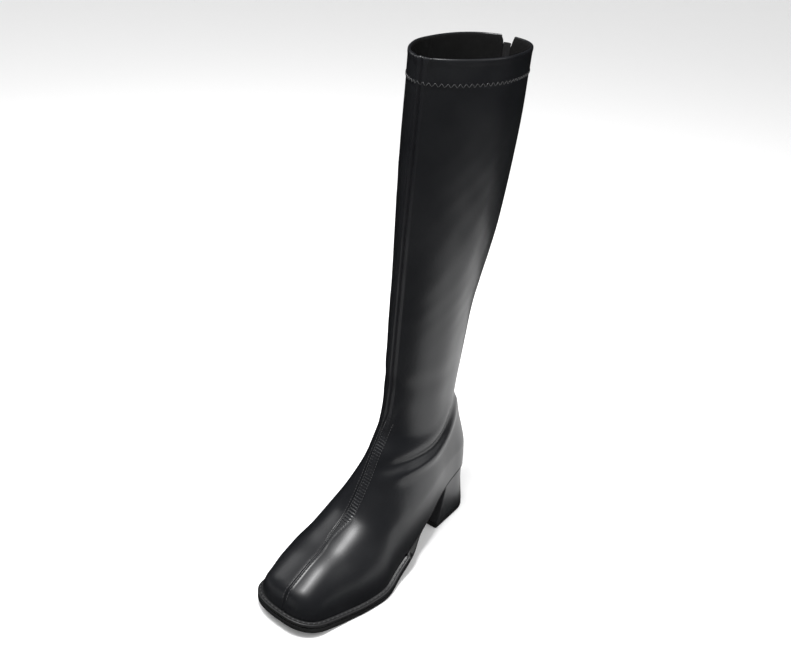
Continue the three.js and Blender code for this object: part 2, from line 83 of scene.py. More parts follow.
def curve(x: Array, xs: Sequence[float], ys: Sequence[float]) -> Array:
    """Monotone cubic through the rows of a table.

    Args:
        x: places to read, clipped to the table's range.
        xs: rising places of the rows.
        ys: values of the rows.

    Returns:
        The values at x.
    """
    xs, ys = np.asarray(xs, float), np.asarray(ys, float)
    step = np.diff(xs)
    slope = np.diff(ys) / step
    total = slope[:-1] + slope[1:]
    product = slope[:-1] * slope[1:]
    inside = np.where(product > 0, 2 * product / np.where(total == 0, 1, total), 0)
    m = np.concatenate([slope[:1], inside, slope[-1:]])
    x = np.clip(x, xs[0], xs[-1])
    i = np.clip(np.searchsorted(xs, x, side="right") - 1, 0, len(step) - 1)
    t = (x - xs[i]) / step[i]
    return ((1 + 2 * t) * (1 - t) ** 2 * ys[i] + t * (1 - t) ** 2 * step[i] * m[i]
            + t * t * (3 - 2 * t) * ys[i + 1] + t * t * (t - 1) * step[i] * m[i + 1])


def placed(x: Array, f: Array, z: Array) -> Array:
    """Side, forward and height as points of the part's frame, still in millimetres."""
    x, f, z = np.broadcast_arrays(x, f, z)
    return np.stack([x, HEEL_MIDDLE - f, z], -1)


def unit(v: Array) -> Array:
    """Vectors of length 1."""
    return v / np.maximum(np.linalg.norm(v, axis=-1, keepdims=True), 1e-9)


def quads(index: Array) -> Array:
    """Faces of a grid of vertex numbers whose rows go up and whose columns go clockwise from above."""
    return np.stack([index[:-1, :-1], index[1:, :-1], index[1:, 1:], index[:-1, 1:]], -1).reshape(-1, 4)


def ring(index: Array) -> Array:
    """The same grid with its first column repeated at the end, so that it closes."""
    return np.concatenate([index, index[:, :1]], 1)


def strip(a: Array, b: Array) -> Array:
    """Triangles between two chains of vertex numbers of different counts.

    Each step is taken on the chain that is less far along, so the triangles stay even.

    Args:
        a: the lower chain.
        b: the upper chain.

    Returns:
        Triangles, turned as quads() turns its faces.
    """
    na, nb = len(a) - 1, len(b) - 1
    when = np.concatenate([(np.arange(na) + 0.5) / na, (np.arange(nb) + 0.5) / nb])
    on_a = np.concatenate([np.ones(na, int), np.zeros(nb, int)])[np.argsort(when, kind="stable")]
    i, j = np.cumsum(on_a) - on_a, np.cumsum(1 - on_a) - (1 - on_a)
    third = np.where(on_a == 1, a[np.minimum(i + 1, na)], b[np.minimum(j + 1, nb)])
    return np.stack([a[i], b[j], third], -1)


def loft(loops: Array) -> tuple[Array, list[Array]]:
    """Closed solid over stacked loops whose points j and n-1-j lie across from each other.

    Args:
        loops: rows of points, lowest first, each going clockwise from above.

    Returns:
        Its points and faces.
    """
    rows, n = loops.shape[:2]
    index = np.arange(rows * n).reshape(rows, n)
    half = n // 2
    across = np.stack([index[:, :half], index[:, ::-1][:, :half]], 1)
    top = np.stack([across[-1, 0, :-1], across[-1, 1, :-1], across[-1, 1, 1:], across[-1, 0, 1:]], -1)
    foot = np.stack([across[0, 0, :-1], across[0, 0, 1:], across[0, 1, 1:], across[0, 1, :-1]], -1)
    return loops.reshape(-1, 3), [quads(ring(index)), top, foot]


# Pieces


class Body(Enum):
    """Moving bodies of the part."""

    BOOT = "boot"
    PULL = "pull"


class Slot(Enum):
    """Material slots of the record."""

    UPPER = "upper"
    HEEL = "heel_block"
    WELT = "welt"
    OUTSOLE = "outsole"
    LIFT = "heel_top_piece"
    INSOLE = "insole"
    TAPE = "zip_tape"
    SLIDER = "zip_slider"
    PULL = "zip_pull"


def add_piece(name: str, points: Array, faces: Sequence[Array], finishes: Sequence[bpy.types.Material],
              body: Body = Body.BOOT, stands_for: Sequence[str] = (), kinds: Array | None = None,
              uv: Array | None = None, sharp: float = 35.0) -> bpy.types.Object:
    """Makes one piece of the boot from points and faces, and hands it to the frame.

    Args:
        name: the piece's name.
        points: its points in millimetres in the part's frame.
        faces: groups of faces, each an array of vertex numbers.
        finishes: its materials.
        body: the body that it rides on.
        stands_for: CAD nodes that it replaces.
        kinds: which of the finishes each face takes.
        uv: a place on the surface, in metres, for each point.
        sharp: edges that bend more than this many degrees stay sharp.

    Returns:
        The object.
    """
    mesh = bpy.data.meshes.new(name)
    polygons = [face for group in faces for face in np.asarray(group).tolist()]
    mesh.from_pydata((np.asarray(points) * MM).tolist(), [], polygons)
    mesh.polygons.foreach_set("use_smooth", np.ones(len(mesh.polygons), bool))
    if kinds is not None:
        mesh.polygons.foreach_set("material_index", kinds.astype(np.int32))
    if uv is not None:
        corner = np.empty(len(mesh.loops), np.int32)
        mesh.loops.foreach_get("vertex_index", corner)
        mesh.uv_layers.new(name="surface").data.foreach_set("uv", uv[corner].astype(np.float32).ravel())
    mesh.update()
    mesh.set_sharp_from_angle(angle=np.radians(sharp))
    for finish in finishes:
        mesh.materials.append(finish)
    piece = bpy.data.objects.new(name, mesh)
    bpy.context.scene.collection.objects.link(piece)
    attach(piece, body.value)
    if stands_for:
        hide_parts(*stands_for)
    LOG.info("%s: %d faces", name, len(mesh.polygons))
    return piece


def bevelled(node: str, name: str, finish: bpy.types.Material, body: Body, width: float,
             raised: float = 0.0) -> bpy.types.Object:
    """A copy of a CAD node with its edges rounded, which stands for the node.

    Args:
        node: the CAD node.
        name: the new piece's name.
        finish: its material.
        body: the body that it rides on.
        width: how far the rounding reaches from each edge, in millimetres.
        raised: how far the node's top end is drawn up, in millimetres.

    Returns:
        The object.
    """
    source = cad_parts[node].data
    co = np.empty(len(source.vertices) * 3)
    source.vertices.foreach_get("co", co)
    corner = np.empty(len(source.loops), np.int32)
    source.loops.foreach_get("vertex_index", corner)
    points, merged = np.unique(np.round(co.reshape(-1, 3) / MM, 3), axis=0, return_inverse=True)
    points[points[:, 2] > points[:, 2].max() - END_BAND, 2] += raised
    triangles = merged.ravel()[corner].reshape(-1, 3)
    piece = add_piece(name, points, [triangles], [finish], body, [node], sharp=30.0)
    rounding = piece.modifiers.new("rounded edges", "BEVEL")
    rounding.width = width * MM
    rounding.segments = 3
    rounding.limit_method = "ANGLE"
    rounding.angle_limit = np.radians(30)
    rounding.harden_normals = True
    return piece


@dataclass(frozen=True)
class Thread:
    """Sewing thread that is laid on a surface in short, slightly arched stitches."""

    radius: float = 0.34
    arch: float = 0.22
    sides: int = 6
    rings: int = 5

    def stitches(self, start: Array, end: Array, out: Array) -> tuple[Array, list[Array]]:
        """Tubes from start to end, thin at both ends, whose middle stands off along out.

        Args:
            start: first end of each stitch.
            end: second end of each stitch.
            out: the surface's normal at each stitch.

        Returns:
            Points and faces of all the stitches.
        """
        along = unit(end - start)
        side = unit(np.cross(along, out))
        lift = unit(np.cross(side, along))
        u = np.linspace(0, 1, self.rings)
        thick = self.radius * np.sqrt(np.maximum(1 - (2 * u - 1) ** 4 * 0.93, 0.02))
        a = np.linspace(0, 2 * np.pi, self.sides, endpoint=False)
        raised = (self.arch * np.sin(np.pi * u))[:, None]
        middle = start[:, None] + (end - start)[:, None] * u[:, None] + out[:, None] * raised
        circle = (side[:, None, None] * np.cos(a)[:, None] + lift[:, None, None] * np.sin(a)[:, None])
        points = middle[:, :, None] + circle * thick[:, None, None]
        index = np.arange(points[..., 0].size).reshape(points.shape[:3])
        grid = np.concatenate([index, index[:, :, :1]], 2)
        walls = np.stack([grid[:, :-1, :-1], grid[:, 1:, :-1], grid[:, 1:, 1:], grid[:, :-1, 1:]], -1)
        return points.reshape(-1, 3), [walls.reshape(-1, 4), index[:, 0], index[:, -1, ::-1]]


def joined(parts: Sequence[tuple[Array, list[Array]]]) -> tuple[Array, list[Array]]:
    """Several sets of points and faces as one, the vertex numbers of each moved on past those before it.

    Args:
        parts: the sets.

    Returns:
        All their points and faces.
    """
    starts = np.cumsum([0] + [len(points) for points, _ in parts])
    return np.concatenate([points for points, _ in parts]), [
        group + start for (_, groups), start in zip(parts, starts) for group in groups]


# Finishes


def link_group(tree: bpy.types.NodeTree, group: bpy.types.NodeTree, **values: float) -> bpy.types.Node:
    """Places a node group in a tree with its own values.

    Args:
        tree: the material's tree.
        group: the group.
        values: a value for each input, with _ for each space in its name.

    Returns:
        The group's node.
    """
    node = tree.nodes.new("ShaderNodeGroup")
    node.node_tree = group
    for name, value in values.items():
        node.inputs[name.replace("_", " ")].default_value = value
    return node


def new_group(name: str, inputs: dict[str, float], outputs: Sequence[str]) -> bpy.types.NodeTree:
    """An empty shader node group.

    Args:
        name: the group's name.
        inputs: its numbers and their usual values, besides Vector.
        outputs: its outputs.

    Returns:
        The group, with its input and output nodes in place.
    """
    group = bpy.data.node_groups.new(name, "ShaderNodeTree")
    group.interface.new_socket("Vector", in_out="INPUT", socket_type="NodeSocketVector")
    for socket, value in inputs.items():
        number = group.interface.new_socket(socket, in_out="INPUT", socket_type="NodeSocketFloat")
        number.default_value = value
    for socket in outputs:
        group.interface.new_socket(socket, in_out="OUTPUT", socket_type="NodeSocketFloat")
    group.nodes.new("NodeGroupInput").name = "in"
    group.nodes.new("NodeGroupOutput").name = "out"
    return group


def math_node(tree: bpy.types.NodeTree, operation: str, a: object, b: object) -> bpy.types.NodeSocket:
    """One sum of two sockets or numbers.

    Args:
        tree: the tree that the sum goes in.
        operation: the sum's name.
        a: first socket or number.
        b: second socket or number.

    Returns:
        The socket with the result.
    """
    node = tree.nodes.new("ShaderNodeMath")
    node.operation = operation
    for socket, value in zip(node.inputs, (a, b)):
        if isinstance(value, bpy.types.NodeSocket):
            tree.links.new(value, socket)
        else:
            socket.default_value = value
    return node.outputs[0]


def noise(tree: bpy.types.NodeTree, place: bpy.types.NodeSocket, scale: float,
          detail: float) -> bpy.types.NodeSocket:
    """Noise over a place.

    Args:
        tree: the tree that it goes in.
        place: the socket with the place.
        scale: cells to a metre.
        detail: how many finer layers it has.

    Returns:
        The socket with the noise.
    """
    node = tree.nodes.new("ShaderNodeTexNoise")
    node.inputs["Detail"].default_value = detail
    tree.links.new(place, node.inputs["Vector"])
    node.inputs["Scale"].default_value = scale
    return node.outputs["Fac"]


def grain_group() -> bpy.types.NodeTree:
    """Fine leather grain: small rounded cells under a softer unevenness.

    Its Height is cells times Cells plus noise times Unevenness, and its Mottle is a slow cloud for
    tone and gloss.

    Returns:
        The group.
    """
    inputs = {"Size": 900.0, "Cells": 0.5, "Unevenness": 0.5}
    group = new_group("fine grain", inputs, ["Height", "Mottle"])
    give, take = group.nodes["in"], group.nodes["out"]
    cells = group.nodes.new("ShaderNodeTexVoronoi")
    cells.feature = "SMOOTH_F1"
    group.links.new(give.outputs["Vector"], cells.inputs["Vector"])
    group.links.new(give.outputs["Size"], cells.inputs["Scale"])
    fine = math_node(group, "MULTIPLY", cells.outputs["Distance"], give.outputs["Cells"])
    cloud = noise(group, give.outputs["Vector"], SOFT_GRAIN, 3.0)
    soft = math_node(group, "MULTIPLY", cloud, give.outputs["Unevenness"])
    group.links.new(math_node(group, "ADD", fine, soft), take.inputs["Height"])
    group.links.new(noise(group, give.outputs["Vector"], SLOW_CLOUD, 4.0), take.inputs["Mottle"])
    return group


def weave_group() -> bpy.types.NodeTree:
    """Plain weave: threads along two directions of the place, each a rounded wave.

    Returns:
        The group, whose Height is the product of the two waves.
    """
    group = new_group("plain weave", {"Threads": 1500.0}, ["Height"])
    give, take = group.nodes["in"], group.nodes["out"]
    waves = []
    for direction in ("X", "Z"):
        wave = group.nodes.new("ShaderNodeTexWave")
        wave.bands_direction = direction
        wave.inputs["Distortion"].default_value = 0.6
        group.links.new(give.outputs["Vector"], wave.inputs["Vector"])
        group.links.new(give.outputs["Threads"], wave.inputs["Scale"])
        waves.append(wave.outputs["Fac"])
    group.links.new(math_node(group, "MULTIPLY", *waves), take.inputs["Height"])
    return group


@dataclass(frozen=True)
class Finish:
    """A surface finish: a colour, a gloss and the small relief that breaks them up."""

    name: str
    dark: tuple[float, float, float]
    light: tuple[float, float, float]
    gloss: tuple[float, float]
    relief: float
    grain: float = 900.0
    cells: float = 0.5
    uneven: float = 0.5
    coat: float = 0.0
    coat_roughness: float = 0.2
    specular: float = 0.5
    metallic: float = 0.0
    sheen: float = 0.0
    woven: bool = False

    def material(self, groups: dict[str, bpy.types.NodeTree]) -> bpy.types.Material:
        """Builds the material.

        Args:
            groups: the shared node groups.

        Returns:
            A Principled material whose colour and roughness follow the slow cloud of the grain
            and whose normal follows its height.
        """
        material = bpy.data.materials.new(self.name)
        material.use_nodes = True
        tree = material.node_tree
        shader = tree.nodes["Principled BSDF"]
        place = tree.nodes.new("ShaderNodeTexCoord").outputs["Object"]
        grain = link_group(tree, groups["grain"], Size=self.grain, Cells=self.cells, Unevenness=self.uneven)
        tree.links.new(place, grain.inputs["Vector"])
        tone = tree.nodes.new("ShaderNodeValToRGB")
        tone.color_ramp.elements[0].position, tone.color_ramp.elements[1].position = 0.3, 0.72
        tone.color_ramp.elements[0].color = (*self.dark, 1)
        tone.color_ramp.elements[1].color = (*self.light, 1)
        tree.links.new(grain.outputs["Mottle"], tone.inputs["Fac"])
        tree.links.new(tone.outputs["Color"], shader.inputs["Base Color"])
        gloss = tree.nodes.new("ShaderNodeMapRange")
        gloss.inputs["From Min"].default_value, gloss.inputs["From Max"].default_value = 0.25, 0.75
        gloss.inputs["To Min"].default_value, gloss.inputs["To Max"].default_value = self.gloss
        tree.links.new(grain.outputs["Mottle"], gloss.inputs["Value"])
        tree.links.new(gloss.outputs["Result"], shader.inputs["Roughness"])
        height = grain.outputs["Height"]
        if self.woven:
            weave = link_group(tree, groups["weave"])
            tree.links.new(place, weave.inputs["Vector"])
            height = math_node(tree, "ADD", math_node(tree, "MULTIPLY", height, 0.3), weave.outputs["Height"])
        bump = tree.nodes.new("ShaderNodeBump")
        bump.inputs["Strength"].default_value = 1.0
        bump.inputs["Distance"].default_value = self.relief * MM
        tree.links.new(height, bump.inputs["Height"])
        tree.links.new(bump.outputs["Normal"], shader.inputs["Normal"])
        shader.inputs["Coat Weight"].default_value = self.coat
        shader.inputs["Coat Roughness"].default_value = self.coat_roughness
        shader.inputs["Specular IOR Level"].default_value = self.specular
        shader.inputs["Metallic"].default_value = self.metallic
        shader.inputs["Sheen Weight"].default_value = self.sheen
        return material


class Look(Enum):
    """The finishes of this boot."""

    UPPER = Finish("satin black leather", (0.0055, 0.006, 0.0075), (0.009, 0.0095, 0.011), (0.33, 0.4),
                   0.03, coat=0.05, coat_roughness=0.2, specular=0.4)
    HEEL = Finish("covered heel leather", (0.012, 0.0125, 0.014), (0.018, 0.0185, 0.02), (0.36, 0.42),
                  0.025, coat=0.04, coat_roughness=0.22, specular=0.4)
    LINING = Finish("dark lining", (0.004, 0.004, 0.004), (0.007, 0.007, 0.007), (0.75, 0.85),
                    0.08, woven=True, specular=0.2)
    WELT = Finish("welt leather", (0.009, 0.009, 0.0095), (0.017, 0.017, 0.018), (0.4, 0.5),
                  0.06, cells=0.8, specular=0.6)
    RUBBER = Finish("black sole rubber", (0.008, 0.008, 0.008), (0.014, 0.014, 0.014), (0.5, 0.65),
                    0.05, grain=1400.0, specular=0.25)
    SOCK = Finish("dark insole sock", (0.012, 0.0115, 0.011), (0.02, 0.019, 0.018), (0.7, 0.8),
                  0.1, woven=True, sheen=0.1)
    TAPE = Finish("zip tape", (0.006, 0.006, 0.0065), (0.01, 0.01, 0.011), (0.7, 0.8), 0.12, woven=True)
    # The thread's colour is its own black, lifted several times above the leather's as a painted highlight
    # for the light that the stitches catch.
    THREAD_AND_PAINTED_HIGHLIGHT = Finish("black sewing thread with painted highlight", (0.03, 0.03, 0.031), (0.045, 0.045, 0.047), (0.35, 0.45),
                    0.04, grain=3000.0)
    TEETH = Finish("black nylon coil", (0.008, 0.008, 0.009), (0.014, 0.014, 0.015), (0.35, 0.45), 0.02)
    LACQUER = Finish("black lacquered metal", (0.012, 0.012, 0.013), (0.02, 0.02, 0.021), (0.24, 0.34),
                     0.015, specular=0.7, metallic=0.6, coat=0.4, coat_roughness=0.12)


@dataclass
class Finishes:
    """The materials, each built once."""

    def __post_init__(self) -> None:
        """Builds the shared groups and every material."""
        groups = {"grain": grain_group(), "weave": weave_group()}
        self.made = {look: look.value.material(groups) for look in Look}

    def __getitem__(self, look: Look) -> bpy.types.Material:
        """The material of a look."""
        return self.made[look]


# The last


@dataclass(frozen=True)
class Last:
    """The shoe's inner form: outline, edge, ridge and shaft, from named sizes and tables of shares."""

    length: float = 242.0
    ball: float = 85.0
    heel_rise: float = 54.5
    instep: float = 92.0
    spring: float = 7.5
    sole: float = 9.0
    heel_cap: float = 30.0
    toe_cap: float = 20.0
    toe_power: float = 2.7
    height: float = 447.5
    collar: tuple[float, float, float] = (120.0, 79.0, 56.0)
    ankle: tuple[float, float, float] = (84.0, 52.5, 69.0)
    ankle_height: float = 155.0
    tilt: float = 15.0
    lean: float = 3.2
    front_power: float = 1.7
    calf_power: float = 2.3
    at: tuple[float, ...] = (0, .10, .22, .34, .46, .57, .66, .74, .84, .93, 1)
    outer: tuple[float, ...] = (.350, .340, .366, .428, .466, .488, .522, .487, .405, .337, .292)
    inner: tuple[float, ...] = (.350, .335, .294, .278, .285, .425, .508, .510, .472, .408, .388)
    seat: tuple[float, ...] = (1, .955, .835, .62, .36, .14, .02, 0, 0, 0, 0)
    side: tuple[float, ...] = (2.2, 2.2, 2.2, 2.2, 2.2, 2.2, 2.2, 2.3, 2.4, 2.5, 2.6)
    top: tuple[float, ...] = (2, 2, 2, 1.9, 1.8, 1.8, 1.9, 2.1, 2.3, 2.5, 2.6)
    reach: tuple[float, ...] = (1, .994, .978, .94, .86, .76, .66, .57, .525, .481)
    rise: tuple[float, ...] = (0, .115, .211, .286, .396, .482, .593, .835, 1.006, 1.156)
    shaft_up: tuple[float, ...] = (0, .25, .55, .80, 1)
    shaft_full: tuple[float, ...] = (0, .21, .74, .96, 1)
    back_up: tuple[float, ...] = (0, .08, .26, .46, .66, .84)
    back_forward: tuple[float, ...] = (0, .008, .034, .078, .150, .217)
    fan: tuple[float, ...] = (0, .12, .30, .50, .70, .86, 1)
    fan_back: tuple[float, ...] = (0, .09, .22, .38, .58, .79, 1)
    fan_front: tuple[float, ...] = (0, .09, .27, .50, .72, .88, 1)

    def share_of(self, share: Array, table: Sequence[float]) -> Array:
        """A table along the last, read at a share of its length."""
        return curve(share, self.at, table)

    def edge_height(self, share: Array) -> Array:
        """Height of the upper's lower edge: sole, plus the heel's rise by the seat table, plus toe spring.

        Args:
            share: share of the last's length.

        Returns:
            The height from the ground.
        """
        share = np.asarray(share, float)
        spring = self.spring * np.clip((share - 0.78) / 0.22, 0, 1.2) ** 1.8
        return self.sole + (self.heel_rise - self.sole) * self.share_of(share, self.seat) + spring

    def half_width(self, share: Array, table: Sequence[float]) -> Array:
        """Half width of the outline: the table's share of the ball, rounded in at heel and toe.

        Args:
            share: share of the last's length.
            table: the outer or the inner table.

        Returns:
            The half width.
        """
        f = share * self.length
        return (self.share_of(share, table) * self.ball * capped(f / self.heel_cap, 2.2)
                * capped((self.length - f) / self.toe_cap, self.toe_power))

    def shaft_row(self, k: Array) -> tuple[Array, Array, Array, Array, Array]:
        """One level of the shaft: ankle's and collar's sizes blended, tilted most at the ankle.

        Args:
            k: share of the shaft's height.

        Returns:
            Back end's forward and height, front end's forward and height, and breadth.
        """
        grow = curve(k, self.shaft_up, self.shaft_full)
        depth, breadth, middle = (mix(a, b, grow) for a, b in zip(self.ankle, self.collar))
        tilt = self.tilt * (1 - k) ** 2
        z = mix(self.ankle_height, self.height, k)
        return middle - depth / 2, z - tilt, middle + depth / 2, z + tilt, breadth

    def lines(self) -> dict[str, Array]:
        """Back line and front line of the whole boot, from the last's tables and the shaft's levels.

        Returns:
            Forward and height of the back line (bf, bz) and of the front line (ff, fz), and the share
            of the front line's length at each of its points (fs).
        """
        steps = np.array([0, .12, .25, .4, .55, .7, .85, 1])
        bf, bz, ff, fz, _ = self.shaft_row(steps)
        seat = float(self.edge_height(0.0))
        reach = np.array(self.reach)
        back_f = np.concatenate([np.array(self.back_forward) * self.ankle[0], bf])
        back_z = np.concatenate([mix(seat, self.ankle_height - self.tilt, np.array(self.back_up)), bz])
        front_f = np.concatenate([reach * self.length, ff])
        front_z = np.concatenate([self.edge_height(reach) + np.array(self.rise) * self.instep, fz])
        run = np.concatenate([[0], np.cumsum(np.hypot(np.diff(front_f), np.diff(front_z)))])
        return {"bf": back_f, "bz": back_z, "ff": front_f, "fz": front_z, "fs": run / run[-1]}

    def ridge(self, share: Array) -> Array:
        """Height of the front line over the sole, carried on in a straight line behind the instep.

        Args:
            share: share of the last's length.

        Returns:
            The height over the upper's lower edge.
        """
        xs, ys = np.array(self.reach)[::-1], np.array(self.rise)[::-1] * self.instep
        beyond = ys[0] + (ys[1] - ys[0]) / (xs[1] - xs[0]) * 1.6 * (share - xs[0])
        return np.where(share >= xs[0], np.maximum(curve(share, xs, ys), 1e-3), beyond)

    def sections(self, v: Array, t: Array) -> tuple[Array, Array, Array, Array]:
        """Sections of the boot: v is 0 at the lower edge, 1 at the ankle, 2 at the collar.

        Each section runs from its back end to its front end. In the foot its half width is the
        outline's, drawn in by a superellipse of the height over the sole; in the shaft it is a
        superellipse of its own, and the two blend from the instep to the ankle.

        Args:
            v: the sections, as a column.
            t: shares of the half turn from back to front.

        Returns:
            Outer half width, inner half width, forward and height, each a grid.
        """
        line, n = self.lines(), len(self.reach)
        v = np.asarray(v, float).reshape(-1, 1)
        c = ((1 - np.cos(np.pi * np.asarray(t))) / 2)[None]
        _, bz, _, fz, breadth = self.shaft_row(np.clip(v - 1, 0, 1))
        up = v > 1
        seat = float(self.edge_height(0.0))
        z0 = np.where(up, bz, mix(seat, self.ankle_height - self.tilt, curve(v, self.fan, self.fan_back)))
        q = np.where(up, curve(fz, line["fz"][n:], line["fs"][n:]),
                     line["fs"][n] * curve(v, self.fan, self.fan_front))
        f0, f1 = curve(z0, line["bz"], line["bf"]), curve(q, line["fs"], line["ff"])
        z1 = curve(q, line["fs"], line["fz"])
        breadth = np.where(up, breadth, self.ankle[1])
        f = mix(f0, f1, c)
        share = np.clip(f / self.length, 0, 1)
        base = self.edge_height(share)
        under = mix(*(self.edge_height(np.clip(end / self.length, 0, 1)) for end in (f0, f1)), c)
        z = mix(z0, z1, c) + (1 - smooth(v / 0.9)) * (base - under)
        h = np.clip(np.maximum(z - base, 0) / self.ridge(f / self.length), 0, 1)
        flank = (1 - h ** self.share_of(share, self.top)) ** (1 / self.share_of(share, self.side))
        rounding = (capped((f - f0) / self.heel_cap, 2.2)
                    * capped((self.length - f) / self.toe_cap, self.toe_power))
        power = mix(self.calf_power, self.front_power, smooth(2 * c - 0.5))
        shaft = breadth / 2 * (1 - np.abs(2 * c - 1) ** power) ** (1 / power)
        m = smooth((v - 0.35) / 0.65)
        foot = [self.share_of(share, table) * self.ball * rounding * flank
                for table in (self.outer, self.inner)]
        return mix(foot[0], shaft, m), mix(foot[1], shaft, m), f, z

    def lean_at(self, z: Array) -> Array:
        """How far the shaft has leant to the outer side at a height."""
        return self.lean * smooth((z - self.ankle_height) / (self.height - self.ankle_height))

    def plan(self, shares: Array, margin: Array) -> tuple[Array, Array, Array]:
        """Outline grown along its own normals, out on the outer side and back on the inner side.

        Args:
            shares: stations from back to toe.
            margin: growth at each station.

        Returns:
            Side, forward and share of each point of the loop.
        """
        x = np.concatenate([self.half_width(shares, self.outer), -self.half_width(shares, self.inner)[::-1]])
        s = np.concatenate([shares, shares[::-1]])
        f = s * self.length
        m = np.concatenate([margin, margin[::-1]])
        dx, df = np.roll(x, -1) - np.roll(x, 1), np.roll(f, -1) - np.roll(f, 1)
        d = np.maximum(np.hypot(dx, df), 1e-9)
        return x + df / d * m, f - dx / d * m, s


# The upper


@dataclass(frozen=True)
class Fold:
    """A crease of the leather: a soft trough along a path on one side, with rolls above and below."""

    side: int
    path: tuple[tuple[float, float], ...]
    depth: float
    width: float
    above: float
    below: float

    def relief(self, x: Array, f: Array, z: Array) -> Array:
        """Height of the crease over the plain surface: minus a bell at the path, plus a bell on each side.

        Args:
            x: side of each point.
            f: forward of each point.
            z: height of each point.

        Returns:
            The relief at each point.
        """
        rows = np.array(self.path, float)
        run = np.concatenate([[0], np.cumsum(np.hypot(*np.diff(rows, axis=0).T))])
        u = np.linspace(0, 1, 121)
        pf, pz = curve(u, run / run[-1], rows[:, 0]), curve(u, run / run[-1], rows[:, 1])
        way = unit(np.stack([np.gradient(pf), np.gradient(pz)], -1))
        near = ((f[..., None] - pf) ** 2 + (z[..., None] - pz) ** 2).argmin(-1)
        d = way[near, 0] * (z - pz[near]) - way[near, 1] * (f - pf[near])
        taper = smooth(u[near] / 0.35) * smooth((1 - u[near]) / 0.25)
        reach = smooth((self.side * x - 3) / 9)
        shape = (-self.depth * hump(d, self.width) + self.above * hump(d - 2.1 * self.width, 1.5 * self.width)
                 + self.below * hump(d + 1.8 * self.width, 1.3 * self.width))
        return shape * taper * reach


